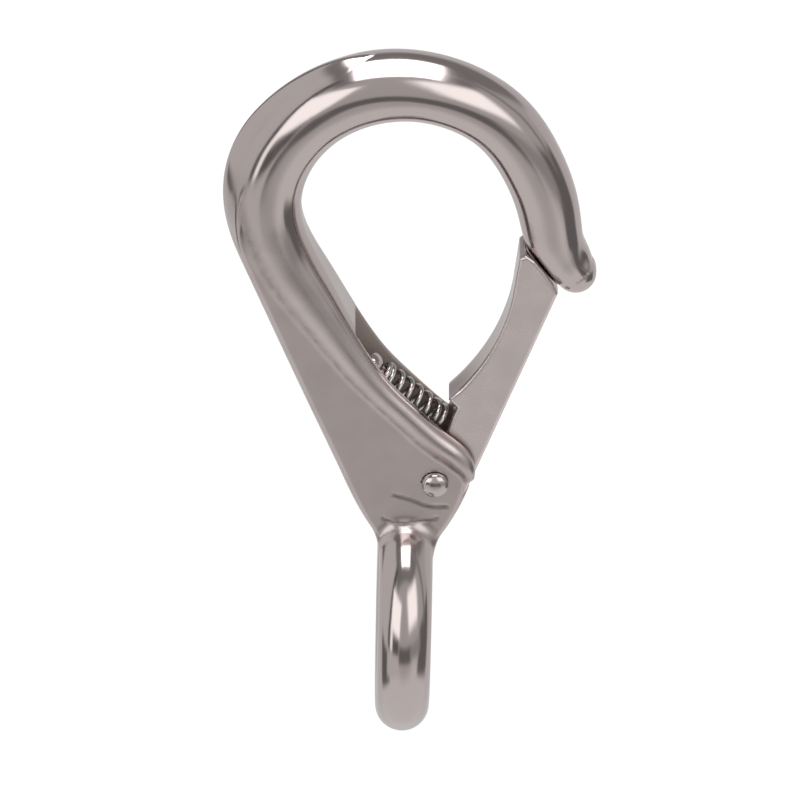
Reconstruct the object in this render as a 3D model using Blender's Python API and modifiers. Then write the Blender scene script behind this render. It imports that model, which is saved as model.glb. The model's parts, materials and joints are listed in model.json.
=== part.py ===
"""Cast stainless boat snap: a hook with a fixed eye, closed by a spring gate.

The hook lies in the XZ plane with its mouth at +X, the eye ring lies in the YZ plane,
and the origin is the centre of the eye. Everything is in metres, +Z up.
"""

from math import acos, atan2, cos, pi, radians, sin, sqrt

import bmesh
import bpy
from mathutils import Vector

# Eye ring
EYE_INNER_R = 0.0090
EYE_WIRE_R = 0.00345
EYE_R = EYE_INNER_R + EYE_WIRE_R
EYE_LEAN = radians(1.4)

# Hook bar. Its bend has a round inner side, and its stations there are (degrees from the
# crown, half width, half depth). The bead's and the nose's are (x, z, half width, half depth).
BEND_CENTRE = Vector((0.0001, 0.0610))
BEND_INNER_R = 0.0132
BAR_R = 0.00465
BEND_STATIONS = (
    (-90, 0.00450, 0.00500),
    (-68, 0.00462, 0.00480),
    (-45, BAR_R, BAR_R),
    (-22, BAR_R, BAR_R),
    (0, BAR_R, BAR_R),
    (22, 0.00448, 0.00455),
    (45, 0.00432, 0.00440),
    (68, 0.00415, 0.00420),
)
BEAD_STATIONS = (
    (0.0079, 0.0227, 0.0010, 0.0046),
    (0.0072, 0.0249, 0.0015, 0.0052),
    (0.0047, 0.0273, 0.0017, 0.0052),
    (0.0003, 0.0316, 0.0017, 0.0052),
    (-0.0030, 0.0352, 0.0018, 0.0052),
    (-0.0059, 0.0389, 0.0022, 0.0052),
    (-0.0086, 0.0430, 0.0027, 0.0052),
    (-0.0127, 0.0494, 0.0036, 0.0052),
    (-0.0161, 0.0553, 0.0042, 0.0051),
)
NOSE_STATIONS = (
    (0.0183, 0.0612, 0.0040, 0.0040),
    (0.0188, 0.0584, 0.0039, 0.0039),
    (0.0193, 0.0560, 0.0037, 0.0038),
    (0.0203, 0.0538, 0.0033, 0.0036),
    (0.0213, 0.0521, 0.0031, 0.0034),
    (0.0220, 0.0512, 0.0029, 0.0032),
    (0.0229, 0.0502, 0.0024, 0.0027),
    (0.0235, 0.0496, 0.0017, 0.0019),
    (0.0239, 0.0492, 0.0008, 0.0009),
)
STEPS_PER_STATION = 2
BAR_SIDES = 16

# Web between the bead, the outer edge and the eye, and the keel along the back of the bend
WEB_DEPTH = 0.0088
WEB_TOP = Vector((-0.0222, 0.0568))
WEB_FOOT_LEFT = Vector((-0.0049, 0.0150))
WEB_CORNER = (Vector((0.0084, 0.0224)), Vector((0.0087, 0.0214)), Vector((0.0084, 0.0205)))
WEB_FOOT_RIGHT = Vector((0.0054, 0.0142))
NECK_HALF = 0.0035
NECK_Z = 0.0110
KEEL_DEPTH = 0.0050
KEEL_RISE = 0.0015
KEEL_SINK = 0.0008
KEEL_SPAN = radians(108)
KEEL_POINTS = 14

# Gate: a flat lever in the slot between the cheeks
PIVOT = Vector((0.0040, 0.0216))
GATE_DEPTH = 0.0062
GATE_LUG_R = 0.0045
GATE_HEEL = Vector((0.0197, 0.0493))
GATE_END = (Vector((0.0192, 0.0504)), Vector((0.0181, 0.0524)), Vector((0.0168, 0.0542)))
GATE_TIP = (Vector((0.0157, 0.0551)), Vector((0.0148, 0.0547)))
GATE_INNER_R = 0.0290
GATE_INNER_TOP = Vector((0.0141, 0.0502))
GATE_INNER_FOOT = Vector((0.0072, 0.0349))
GATE_LIP = Vector((0.0056, 0.0335))
SHOULDER_TOP = Vector((0.0068, 0.0321))
SHOULDER_FOOT = Vector((0.0048, 0.0267))
GATE_EDGE = 0.00035
NOSE_GAP = 0.0003

# Slot between the cheeks
SLOT_WIDTH = 0.0068
LUG_GAP = 0.0004
SLOT_ROOT_R = GATE_LUG_R + LUG_GAP
SLOT_SHOULDER_R = 0.0056
SLOT_SHOULDER_SPAN = radians(8)
SLOT_ROOT_LEFT = radians(18)
SLOT_ROOT_RIGHT = radians(318)
SLOT_FLOOR_GAP = 0.0002
SLOT_END_TOP = Vector((-0.0059, 0.0450))
SLOT_END_FOOT = Vector((-0.0078, 0.0372))
SLOT_OPEN_ABOVE = Vector((-0.0020, 0.0500))
SLOT_OPEN_RIGHT = (Vector((0.0140, 0.0340)), Vector((0.0140, 0.0220)))

# Spring, and the seat and stub that it stands on
SPRING_FAR = Vector((-0.0033, 0.03555))
SPRING_NEAR = Vector((0.0046, 0.0284))
SPRING_OUTER_R = 0.00225
SPRING_WIRE_R = 0.00035
SPRING_TURNS = 7.5
SPRING_POINTS_PER_TURN = 12
SPRING_GAP = 0.0003
SEAT_HALF_LENGTH = 0.0012
SEAT_HALF_WIDTH = 0.0018
SEAT_FOOT = -0.0032
SEAT_TOP = 0.0019
STUB_R = 0.0012
STUB_LENGTH = 0.0020

# Rivet
RIVET_R = 0.00125
RIVET_HOLE_R = 0.00155
RIVET_HEAD_R = 0.00185
RIVET_HEAD_HEIGHT = 0.0011
RIVET_BACK_R = 0.0015
RIVET_BACK_RIM = 0.00065
RIVET_BACK_HEIGHT = 0.0008
HEAD_GAP = 0.0002

CUT_LENGTH = 0.020
WELD = 0.00001
UPRIGHT = (pi / 2, 0, 0)


def new_collection(name):
    collection = bpy.data.collections.new(name)
    bpy.context.scene.collection.children.link(collection)
    return collection


def clear_scene():
    for obj in list(bpy.data.objects):
        bpy.data.objects.remove(obj, do_unlink=True)


def steel(name, colour, roughness):
    """A Principled steel with one colour and roughness."""
    material = bpy.data.materials.new(name)
    material.use_nodes = True
    shader = material.node_tree.nodes["Principled BSDF"]
    shader.inputs["Base Color"].default_value = (*colour, 1)
    shader.inputs["Metallic"].default_value = 1
    shader.inputs["Roughness"].default_value = roughness
    return material


def add_object(name, data, collection):
    obj = bpy.data.objects.new(name, data)
    collection.objects.link(obj)
    return obj


def as_cutter(obj):
    obj.hide_render = True
    obj.display_type = "WIRE"
    return obj


def to_mesh(obj, collection):
    """Replace a curve object by its mesh, with the loose caps welded."""
    bpy.context.view_layer.update()
    evaluated = obj.evaluated_get(bpy.context.evaluated_depsgraph_get())
    mesh = bpy.data.meshes.new_from_object(evaluated)
    work = bmesh.new()
    work.from_mesh(mesh)
    bmesh.ops.remove_doubles(work, verts=work.verts, dist=WELD)
    bmesh.ops.recalc_face_normals(work, faces=work.faces)
    work.to_mesh(mesh)
    work.free()
    name = obj.name
    place = obj.matrix_world.copy()
    bpy.data.objects.remove(obj, do_unlink=True)
    solid = add_object(name, mesh, collection)
    solid.matrix_world = place
    return solid


def plate(name, outline, depth, collection):
    """A flat solid of the outline in the XZ plane, centred on Y = 0."""
    curve = bpy.data.curves.new(name, "CURVE")
    curve.dimensions = "2D"
    curve.fill_mode = "BOTH"
    curve.extrude = depth / 2
    spline = curve.splines.new("POLY")
    spline.points.add(len(outline) - 1)
    for point, (x, z) in zip(spline.points, outline):
        point.co = (x, z, 0, 1)
    spline.use_cyclic_u = True
    obj = add_object(name, curve, collection)
    obj.rotation_euler = UPRIGHT
    return to_mesh(obj, collection)


def pin(name, radius, length, sides, collection):
    """A cylinder along Y through the pivot."""
    mesh = bpy.data.meshes.new(name)
    work = bmesh.new()
    bmesh.ops.create_cone(
        work, cap_ends=True, segments=sides, radius1=radius, radius2=radius, depth=length
    )
    work.to_mesh(mesh)
    work.free()
    obj = add_object(name, mesh, collection)
    obj.location = (PIVOT.x, 0, PIVOT.y)
    obj.rotation_euler = UPRIGHT
    return obj


def combine(target, tool, operation):
    """Apply one exact Boolean to the target, and return the result as its new mesh."""
    modifier = target.modifiers.new(tool.name, "BOOLEAN")
    modifier.operation = operation
    modifier.solver = "EXACT"
    modifier.object = tool
    bpy.context.view_layer.update()
    evaluated = target.evaluated_get(bpy.context.evaluated_depsgraph_get())
    mesh = bpy.data.meshes.new_from_object(evaluated)
    target.modifiers.clear()
    target.data = mesh


def smooth(obj, angle=radians(40)):
    obj.data.shade_smooth()
    obj.data.set_sharp_from_angle(angle=angle)


def bevel_edges(obj, width):
    modifier = obj.modifiers.new("edges", "BEVEL")
    modifier.width = width
    modifier.segments = 1
    modifier.limit_method = "ANGLE"
    modifier.angle_limit = radians(50)


def arc(centre, radius, start, end, count):
    """Points of an arc; angles are measured from +X towards +Z."""
    points = []
    for i in range(count + 1):
        angle = start + (end - start) * i / count
        points.append(centre + radius * Vector((cos(angle), sin(angle))))
    return points


def tangent_point(outside, centre, radius, side):
    """Where the tangent from an outside point touches a circle."""
    away = outside - centre
    swing = acos(radius / away.length)
    angle = atan2(away.y, away.x) + side * swing
    return centre + radius * Vector((cos(angle), sin(angle)))


def line_meets_circle(point, direction, centre, radius):
    """Where a line that starts inside a circle leaves it."""
    offset = point - centre
    nearest = offset.dot(direction)
    reach = sqrt(nearest ** 2 - offset.length_squared + radius ** 2)
    return point + direction * (reach - nearest)


def angle_of(point, centre):
    return atan2(point.y - centre.y, point.x - centre.x)


def from_crown(angle, radius):
    """A point about the bend's centre; the angle is measured from the crown towards +X."""
    return BEND_CENTRE + radius * Vector((sin(angle), cos(angle)))


def bar_stations():
    """All stations of the bar, from the end of the bead to the nose."""
    bend = []
    for degrees, half_width, half_depth in BEND_STATIONS:
        middle = from_crown(radians(degrees), BEND_INNER_R + half_width)
        bend.append((middle.x, middle.y, half_width, half_depth))
    return [Vector(station) for station in (*BEAD_STATIONS, *bend, *NOSE_STATIONS)]


def spline_through(stations, steps):
    """A Catmull-Rom curve through the stations, in all their components."""
    points = []
    last = len(stations) - 1
    for i in range(last):
        before = stations[max(i - 1, 0)]
        start = stations[i]
        end = stations[i + 1]
        after = stations[min(i + 2, last)]
        for step in range(steps):
            t = step / steps
            points.append(
                0.5 * (
                    2 * start
                    + (end - before) * t
                    + (2 * before - 5 * start + 4 * end - after) * t ** 2
                    + (3 * start - before - 3 * end + after) * t ** 3
                )
            )
    points.append(stations[last])
    return points


def swept_bar(name, stations, collection):
    """A closed loft of elliptical sections, square to the path through the stations."""
    path = spline_through(stations, STEPS_PER_STATION)
    work = bmesh.new()
    rings = []
    for i, (x, z, half_width, half_depth) in enumerate(path):
        ahead = path[min(i + 1, len(path) - 1)]
        behind = path[max(i - 1, 0)]
        run = Vector((ahead.x - behind.x, 0, ahead.y - behind.y)).normalized()
        across = Vector((run.z, 0, -run.x))
        ring = []
        for side in range(BAR_SIDES):
            angle = 2 * pi * side / BAR_SIDES
            offset = across * (half_width * cos(angle))
            offset.y += half_depth * sin(angle)
            ring.append(work.verts.new(Vector((x, 0, z)) + offset))
        rings.append(ring)
    for ring, following in zip(rings, rings[1:]):
        for side in range(BAR_SIDES):
            beside = (side + 1) % BAR_SIDES
            work.faces.new((ring[side], ring[beside], following[beside], following[side]))
    work.faces.new(rings[0])
    work.faces.new(rings[-1])
    bmesh.ops.recalc_face_normals(work, faces=work.faces)
    mesh = bpy.data.meshes.new(name)
    work.to_mesh(mesh)
    work.free()
    return add_object(name, mesh, collection)


def web_outline(path):
    """The cheeks' outline: left edge up, down the bar's centreline, right edge down."""
    crown = [Vector((point.x, point.y)) for point in path]
    outline = [
        Vector((-NECK_HALF, NECK_Z)),
        WEB_FOOT_LEFT,
        WEB_TOP,
    ]
    outline.extend(reversed(crown))
    outline.extend((*WEB_CORNER, WEB_FOOT_RIGHT, Vector((NECK_HALF, NECK_Z))))
    return outline


def keel_outline():
    """A crescent on the back of the bend, highest halfway from the web to the crown."""
    outer = []
    inner = []
    for i in range(KEEL_POINTS + 1):
        share = i / KEEL_POINTS
        angle = -KEEL_SPAN * (1 - share)
        rise = (KEEL_RISE + KEEL_SINK) * abs(sin(pi * share)) ** 0.5 - KEEL_SINK
        outer.append(from_crown(angle, BEND_INNER_R + 2 * BAR_R + rise))
        inner.append(from_crown(angle, BEND_INNER_R + BAR_R))
    return outer + inner[::-1]


def slot_outline():
    """The space between the cheeks: round the gate's root, along the spring, open above."""
    run = (SPRING_FAR - SPRING_NEAR).normalized()
    rise = Vector((run.y, -run.x))
    beside = SPRING_NEAR - rise * (SPRING_OUTER_R + SLOT_FLOOR_GAP)
    floor = line_meets_circle(beside, run, PIVOT, SLOT_SHOULDER_R)
    floor_end = floor + run * (SLOT_END_FOOT - floor).dot(run)
    turn = angle_of(floor, PIVOT)
    outline = [SLOT_OPEN_ABOVE, SLOT_END_TOP, SLOT_END_FOOT, floor_end]
    outline.extend(arc(PIVOT, SLOT_SHOULDER_R, turn, turn + SLOT_SHOULDER_SPAN, 2))
    outline.extend(arc(PIVOT, SLOT_ROOT_R, turn + SLOT_ROOT_LEFT, SLOT_ROOT_RIGHT, 14))
    outline.extend(reversed(SLOT_OPEN_RIGHT))
    return outline


def gate_outline():
    """The lever's outline, from the root's right side up the outer edge and back down."""
    edge = tangent_point(GATE_HEEL, PIVOT, GATE_LUG_R, -1)
    back = tangent_point(SHOULDER_FOOT, PIVOT, GATE_LUG_R, 1)
    outline = [GATE_HEEL, *GATE_END, *GATE_TIP]
    chord = GATE_INNER_FOOT - GATE_INNER_TOP
    middle = (GATE_INNER_TOP + GATE_INNER_FOOT) / 2
    away = Vector((chord.y, -chord.x)).normalized()
    centre = middle + away * sqrt(GATE_INNER_R ** 2 - (chord.length / 2) ** 2)
    start = angle_of(GATE_INNER_TOP, centre)
    end = angle_of(GATE_INNER_FOOT, centre)
    outline.extend(arc(centre, GATE_INNER_R, start, end, 9))
    outline.extend((GATE_LIP, SHOULDER_TOP, SHOULDER_FOOT))
    start = angle_of(back, PIVOT)
    end = angle_of(edge, PIVOT) + 2 * pi
    outline.extend(arc(PIVOT, GATE_LUG_R, start, end, 16))
    return outline


def post(name, middle, direction, radius, depth, collection):
    """A cylinder in the XZ plane, round its middle, along a direction."""
    mesh = bpy.data.meshes.new(name)
    work = bmesh.new()
    bmesh.ops.create_cone(
        work, cap_ends=True, segments=14, radius1=radius, radius2=radius, depth=depth
    )
    work.to_mesh(mesh)
    work.free()
    obj = as_cutter(add_object(name, mesh, collection))
    obj.location = (middle.x, 0, middle.y)
    obj.rotation_euler = (0, pi / 2 - atan2(direction.y, direction.x), 0)
    return obj


def add_spring_seat(body, cutters):
    """A post from the slot's floor, wider than it is long, with a stub inside the coil."""
    run = (SPRING_NEAR - SPRING_FAR).normalized()
    rise = Vector((-run.y, run.x))
    middle = SPRING_FAR - run * (SEAT_HALF_LENGTH + SPRING_GAP)
    centre = middle + rise * (SEAT_TOP + SEAT_FOOT) / 2
    seat = post("seat_blank", centre, rise, SEAT_HALF_LENGTH, SEAT_TOP - SEAT_FOOT, cutters)
    seat.scale.y = SEAT_HALF_WIDTH / SEAT_HALF_LENGTH
    combine(body, seat, "UNION")
    end = SPRING_FAR + run * STUB_LENGTH
    stub = post("stub_blank", (middle + end) / 2, run, STUB_R, (end - middle).length, cutters)
    combine(body, stub, "UNION")


def build_hook(parts, cutters, finish):
    stations = bar_stations()
    body = swept_bar("hook_body", stations, parts)
    bead_count = len(BEAD_STATIONS) * STEPS_PER_STATION
    path = spline_through(stations, STEPS_PER_STATION)[: bead_count + 1]
    web = plate("web_blank", web_outline(path), WEB_DEPTH, cutters)
    combine(body, as_cutter(web), "UNION")
    keel = plate("keel_blank", keel_outline(), KEEL_DEPTH, cutters)
    combine(body, as_cutter(keel), "UNION")

    bpy.ops.mesh.primitive_torus_add(
        major_radius=EYE_R, minor_radius=EYE_WIRE_R, major_segments=36, minor_segments=14,
        location=(0, 0, 0), rotation=(0, pi / 2 - EYE_LEAN, 0),
    )
    eye = bpy.context.object
    eye.name = "eye_blank"
    for collection in eye.users_collection:
        collection.objects.unlink(eye)
    cutters.objects.link(eye)
    combine(body, as_cutter(eye), "UNION")

    slot = plate("slot_cut", slot_outline(), SLOT_WIDTH, cutters)
    combine(body, as_cutter(slot), "DIFFERENCE")
    combine(body, as_cutter(pin("body_hole_cut", RIVET_HOLE_R, CUT_LENGTH, 20, cutters)), "DIFFERENCE")

    add_spring_seat(body, cutters)
    body.data.materials.clear()
    body.data.materials.append(finish)
    smooth(body)
    return body


def build_gate(parts, cutters, finish):
    gate = plate("gate", gate_outline(), GATE_DEPTH, parts)
    combine(gate, as_cutter(pin("gate_hole_cut", RIVET_HOLE_R, CUT_LENGTH, 20, cutters)), "DIFFERENCE")
    grown = Vector((0, 0, NOSE_GAP, NOSE_GAP))
    nose = [Vector(station) + grown for station in NOSE_STATIONS]
    combine(gate, as_cutter(swept_bar("saddle_cut", nose, cutters)), "DIFFERENCE")
    bevel_edges(gate, GATE_EDGE)
    gate.data.materials.append(finish)
    return gate


def build_spring(parts, finish):
    """A closed-ended coil along the line from the stub to the gate's shoulder."""
    curve = bpy.data.curves.new("gate_spring", "CURVE")
    curve.dimensions = "3D"
    curve.bevel_depth = SPRING_WIRE_R
    curve.bevel_resolution = 2
    curve.use_fill_caps = True
    far = Vector((SPRING_FAR.x, 0, SPRING_FAR.y))
    near = Vector((SPRING_NEAR.x, 0, SPRING_NEAR.y))
    run = (near - far).normalized()
    rise = Vector((-run.z, 0, run.x))
    across = run.cross(rise)
    length = (near - far).length
    count = round(SPRING_TURNS * SPRING_POINTS_PER_TURN)
    coil_r = SPRING_OUTER_R - SPRING_WIRE_R
    spline = curve.splines.new("POLY")
    spline.points.add(count)
    for i, point in enumerate(spline.points):
        angle = 2 * pi * i / SPRING_POINTS_PER_TURN
        along = SPRING_WIRE_R + (length - 2 * SPRING_WIRE_R) * i / count
        place = far + run * along + coil_r * (rise * cos(angle) + across * sin(angle))
        point.co = (*place, 1)
    obj = to_mesh(add_object("gate_spring", curve, parts), parts)
    obj.data.materials.append(finish)
    smooth(obj)
    return obj


def build_rivet(parts, finish):
    """A turned rivet along Y: a domed head in front and a flatter peened one behind."""
    half = WEB_DEPTH / 2 + HEAD_GAP
    profile = [(0, half + RIVET_HEAD_HEIGHT)]
    for degrees in (60, 30, 0):
        angle = radians(degrees)
        profile.append((RIVET_HEAD_R * cos(angle), half + RIVET_HEAD_HEIGHT * sin(angle)))
    profile.append((RIVET_R, half))
    profile.append((RIVET_R, -half))
    profile.append((RIVET_HEAD_R, -half))
    profile.append((RIVET_BACK_R, -half - RIVET_BACK_RIM))
    profile.append((0, -half - RIVET_BACK_HEIGHT))
    mesh = bpy.data.meshes.new("pivot_rivet")
    work = bmesh.new()
    verts = [work.verts.new((x, 0, z)) for x, z in profile]
    for first, second in zip(verts, verts[1:]):
        work.edges.new((first, second))
    work.to_mesh(mesh)
    work.free()
    rivet = add_object("pivot_rivet", mesh, parts)
    turn = rivet.modifiers.new("turn", "SCREW")
    turn.steps = 20
    turn.render_steps = 20
    turn.use_merge_vertices = True
    turn.merge_threshold = WELD
    rivet.location = (PIVOT.x, 0, PIVOT.y)
    rivet.rotation_euler = UPRIGHT
    rivet.data.materials.append(finish)
    return rivet


def main():
    clear_scene()
    parts = new_collection("snap_hook")
    cutters = new_collection("cutters")
    polished = steel("polished_casting", (0.62, 0.58, 0.56), 0.12)
    satin = steel("satin_casting", (0.58, 0.54, 0.52), 0.30)
    spring_wire = steel("spring_wire", (0.66, 0.64, 0.62), 0.16)
    rivet_steel = steel("rivet_steel", (0.64, 0.61, 0.59), 0.18)
    build_hook(parts, cutters, polished)
    build_gate(parts, cutters, satin)
    build_spring(parts, spring_wire)
    build_rivet(parts, rivet_steel)


main()
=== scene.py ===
"""Looks of the cast snap hook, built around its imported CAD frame.

The hook body and the gate are modelled as distance fields in millimetres and skinned with
a fine quad mesh, so their blends and grooves are real shape. The coil spring and the rivet
are a swept wire and a turned profile. Everything is in the frame's place: the hook lies in
the XZ plane, its mouth at +X, with the centre of the eye at the origin.
"""

import json
from math import atan2, cos, pi, radians, sin

import bmesh
import bpy
import numpy as np
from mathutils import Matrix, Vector


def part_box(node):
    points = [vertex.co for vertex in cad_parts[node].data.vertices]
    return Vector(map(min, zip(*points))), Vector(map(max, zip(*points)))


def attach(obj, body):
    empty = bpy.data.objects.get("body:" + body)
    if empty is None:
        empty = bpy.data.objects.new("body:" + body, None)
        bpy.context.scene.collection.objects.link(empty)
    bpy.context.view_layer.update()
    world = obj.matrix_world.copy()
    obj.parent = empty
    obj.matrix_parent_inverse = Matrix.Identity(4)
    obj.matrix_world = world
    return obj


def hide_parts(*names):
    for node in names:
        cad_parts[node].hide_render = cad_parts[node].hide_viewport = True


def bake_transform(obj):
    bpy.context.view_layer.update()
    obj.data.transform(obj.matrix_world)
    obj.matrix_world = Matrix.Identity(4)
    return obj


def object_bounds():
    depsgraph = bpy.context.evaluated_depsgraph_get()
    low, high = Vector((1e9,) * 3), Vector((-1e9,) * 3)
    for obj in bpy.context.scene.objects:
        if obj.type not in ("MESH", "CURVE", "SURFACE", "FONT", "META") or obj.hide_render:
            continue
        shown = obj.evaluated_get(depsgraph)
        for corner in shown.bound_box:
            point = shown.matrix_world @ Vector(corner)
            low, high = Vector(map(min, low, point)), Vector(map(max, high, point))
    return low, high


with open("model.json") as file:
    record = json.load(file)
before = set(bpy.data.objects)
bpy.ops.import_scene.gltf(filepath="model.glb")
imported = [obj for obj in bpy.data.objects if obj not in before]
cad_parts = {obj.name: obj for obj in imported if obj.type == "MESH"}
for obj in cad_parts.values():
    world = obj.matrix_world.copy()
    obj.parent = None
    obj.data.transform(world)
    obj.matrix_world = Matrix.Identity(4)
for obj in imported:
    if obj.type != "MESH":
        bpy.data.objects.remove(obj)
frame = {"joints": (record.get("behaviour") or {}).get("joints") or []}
cad_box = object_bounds()

MM = 0.001

# Read from the frame, in millimetres
HINGE = frame["joints"][0]
PIVOT_X = HINGE["pos_m"][0] / MM
PIVOT_Z = HINGE["pos_m"][2] / MM
GATE_HALF_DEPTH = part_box("gate")[1].y / MM
RIVET_LOW, RIVET_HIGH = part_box("pivot_rivet")

# Eye ring
EYE_WIRE_R = 3.45
EYE_HOLE_R = 9.0
EYE_R = EYE_HOLE_R + EYE_WIRE_R
EYE_LEAN = radians(1.4)

# Bar: (x, z, half width in the plane, half depth), from the bead's end over the bend to the nose
BEND_X = 0.1
BEND_Z = 61.0
BEND_INNER_R = 13.2
BEAD_STATIONS = (
    (8.4, 22.4, 0.7, 4.6),
    (8.2, 23.4, 1.0, 4.9),
    (7.5, 24.6, 1.4, 5.1),
    (6.3, 25.9, 1.6, 5.2),
    (4.7, 27.2, 1.7, 5.2),
    (0.3, 31.6, 1.7, 5.2),
    (-3.0, 35.2, 1.8, 5.2),
    (-5.9, 38.9, 2.2, 5.2),
    (-8.6, 43.0, 2.7, 5.2),
    (-12.7, 49.4, 3.6, 5.2),
    (-16.1, 55.3, 4.2, 5.1),
)
BEND_STATIONS = (
    (-90, 4.50, 5.00),
    (-68, 4.62, 4.80),
    (-45, 4.68, 4.75),
    (-22, 4.80, 4.65),
    (0, 4.66, 4.60),
    (22, 4.42, 4.50),
    (45, 4.27, 4.35),
    (68, 4.12, 4.20),
)
NOSE_STATIONS = (
    (18.3, 61.2, 4.0, 4.0),
    (18.8, 58.4, 3.9, 3.9),
    (19.3, 56.0, 3.7, 3.8),
    (20.3, 53.8, 3.3, 3.6),
    (21.3, 52.1, 3.0, 3.4),
    (22.0, 51.1, 2.65, 3.1),
)

# Web: the crest of its outer edge, (x, z) from the neck up, then (degrees from the crown, radius),
# and its other edge, (x, z) from the bead's end down to the neck
CREST_FOOT = (
    (-2.2, 8.0),
    (-2.6, 10.0),
    (-3.6, 11.9),
    (-4.9, 13.9),
    (-8.1, 20.9),
    (-12.5, 31.8),
    (-17.0, 43.1),
    (-20.6, 52.2),
)
CREST_BEND = (
    (-103, 22.65),
    (-90, 23.15),
    (-76, 23.60),
    (-60, 23.75),
    (-45, 23.55),
    (-30, 23.40),
    (-15, 23.05),
    (0, 22.40),
)
EDGE_STATIONS = (
    (9.4, 24.0),
    (8.9, 20.6),
    (7.9, 17.3),
    (6.4, 14.2),
    (4.5, 11.4),
    (3.2, 9.3),
    (2.7, 7.8),
)
WEB_FLOOR_Z = 8.8
WEB_FLOOR_ROUND = 2.0
WEB_HALF_DEPTH = 4.4
ROOF_SLOPE = 0.31
CREST_ROUND = 0.7
RIDGE_ROUND = 0.5
CORNER_ROUND = 0.5

# Round the bend, in degrees from the crown: where the keel starts and is full, and where it fades
KEEL_START = -104
KEEL_FULL = -66
FADE_START = -22
FADE_END = -4
FADE_SINK = 0.2

# Reach of the fillets between the parts of the casting
GROOVE = 0.8
KEEL_GROOVE = 0.1
NECK_FILLET = 1.6

# Shallow tooling creases on the front of the web, (x, z), and a dished spot on the nose
CREASES = (
    ((-1.3, 19.9), (1.0, 19.1), (2.7, 18.35), (5.5, 18.2)),
    ((-2.6, 16.3), (-1.2, 15.7), (0.4, 15.6), (1.6, 15.9), (3.2, 16.1), (4.2, 16.4)),
)
CREASE_R = 0.42
CREASE_DEPTH = 0.07
DISH = (24.9, -3.4, 55.0)
DISH_R = (2.5, 2.5, 2.9)
DISH_ROUND = 0.8

# Slot between the cheeks. Its floor runs along the spring, then a shoulder and a root go round the
# rivet: the shoulder's span and the root's start are counted from the floor's end, and the root's
# end from +X.
SLOT_HALF_DEPTH = 3.4
SLOT_ROUND = 0.3
SLOT_END_TOP = (-5.9, 45.0)
SLOT_END_FOOT = (-7.8, 37.2)
SLOT_OPEN = ((14.0, 22.0), (14.0, 34.0), (-2.0, 50.0))
SLOT_ROOT_R = 4.6
SLOT_ROOT_LEFT = radians(18)
SLOT_ROOT_RIGHT = radians(318)
SLOT_SHOULDER_R = 5.6
SLOT_SHOULDER_SPAN = radians(8)
SLOT_FLOOR_GAP = 0.2

# Spring, with so many turns at each end wound at a part of the even pitch, and the post that it
# stands against, with a stub inside the coil
SPRING_FAR = (-3.3, 35.55)
SPRING_NEAR = (4.6, 28.4)
SPRING_R = 2.25
SPRING_WIRE_R = 0.35
SPRING_TURNS = 7.5
SPRING_POINTS_PER_TURN = 36
SPRING_WIRE_SIDES = 12
SPRING_SHARP_ANGLE = radians(50)
END_TURN = 0.9
END_PITCH = 0.36
SEAT_HALF_LENGTH = 1.2
SEAT_HALF_WIDTH = 1.8
SEAT_FOOT = -3.2
SEAT_TOP = 1.9
SEAT_GAP = 0.3
SEAT_ROUND = 1.2
STUB_R = 1.2
STUB_LENGTH = 2.0
STUB_ROUND = 0.3

# Gate, with the hole that the rivet passes through, in the casting too
GATE_LUG_R = 4.5
GATE_HEEL = (19.7, 49.3)
GATE_TOP = ((19.2, 50.4), (18.1, 52.4), (16.8, 54.2), (15.7, 55.1), (14.8, 54.7))
GATE_INNER_TOP = (14.1, 50.2)
GATE_INNER_FOOT = (7.2, 34.9)
GATE_INNER_R = 29.0
GATE_SHOULDER = ((5.6, 33.5), (6.8, 32.1), (4.8, 26.7))
GATE_ROUND = 0.4
GATE_BACK_ROUND = 2.4
MOUTH_Z = 44.0
NOSE_GAP = 0.15
HOLE_R = 1.55

# Rivet: its heads stand off the cheeks by HEAD_GAP and stay HEAD_INSET inside the CAD's edge. The
# front one is a dome on a rim, with a share of the height, and the back one is chamfered.
RIVET_R = 1.25
HEAD_GAP = 0.2
HEAD_INSET = 0.12
HEAD_RIM = 0.06
HEAD_RIM_SHARE = 0.25
BACK_CHAMFER = 0.08
BACK_RIM = 0.25
RIVET_SIDES = 40
RIVET_SHARP_ANGLE = radians(40)
WELD = 0.00001

# Skinning: the grid's step, the gate's share of it, and the room left round a piece
STEP = 0.3
GATE_STEP_SHARE = 0.7
MARGIN = 1.5

# The grid is sampled in full only in blocks of BLOCK steps whose corners come nearer to the
# surface than BLOCK_REACH blocks
BLOCK = 4
BLOCK_REACH = 1.4

# Search for the nearest point of a path: points at a time, rounds, and the least part of the
# path's speed that a step is divided by
CHUNK = 20000
NEAREST_ROUNDS = 3
LEAST_CURVE = 0.3

# Rounds of evening the mesh out, how far off a field's slope is felt, and the least squared slope
# that a point's move onto the surface is divided by
EVENING_ROUNDS = 2
SLOPE_REACH = 0.04
LEAST_STEEPNESS = 0.2

# Paints, by distance, and the keel's polish by its share. Polish grows from the first value to
# the second, and the painted shade in the grooves and the cast skin fade out from the first to
# the second.
POLISH_EDGE = (0.3, 2.4)
KEEL_POLISH_EDGE = (0, 0.2)
GATE_POLISH_EDGE = (0.05, 0.4)
GROOVE_SHADE_EDGE = (0.0, 0.7)
CAST_SKIN_EDGE = (0.1, 0.3)


# ---------------------------------------------------------------- distance fields

def soft_min(a, b, reach):
    """The union of two fields, with a fillet of about that reach where they meet."""
    near = np.maximum(reach - np.abs(a - b), 0) / reach
    return np.minimum(a, b) - near * near * reach / 4


def round_max(a, b, radius):
    """The common part of two plain fields, with its edge a true round."""
    a, b = a + radius, b + radius
    return np.hypot(np.maximum(a, 0), np.maximum(b, 0)) + np.minimum(np.maximum(a, b), 0) - radius


def soft_max(a, b, reach):
    """The common part of two fields, with its edge rounded."""
    return -soft_min(-a, -b, reach)


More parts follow.
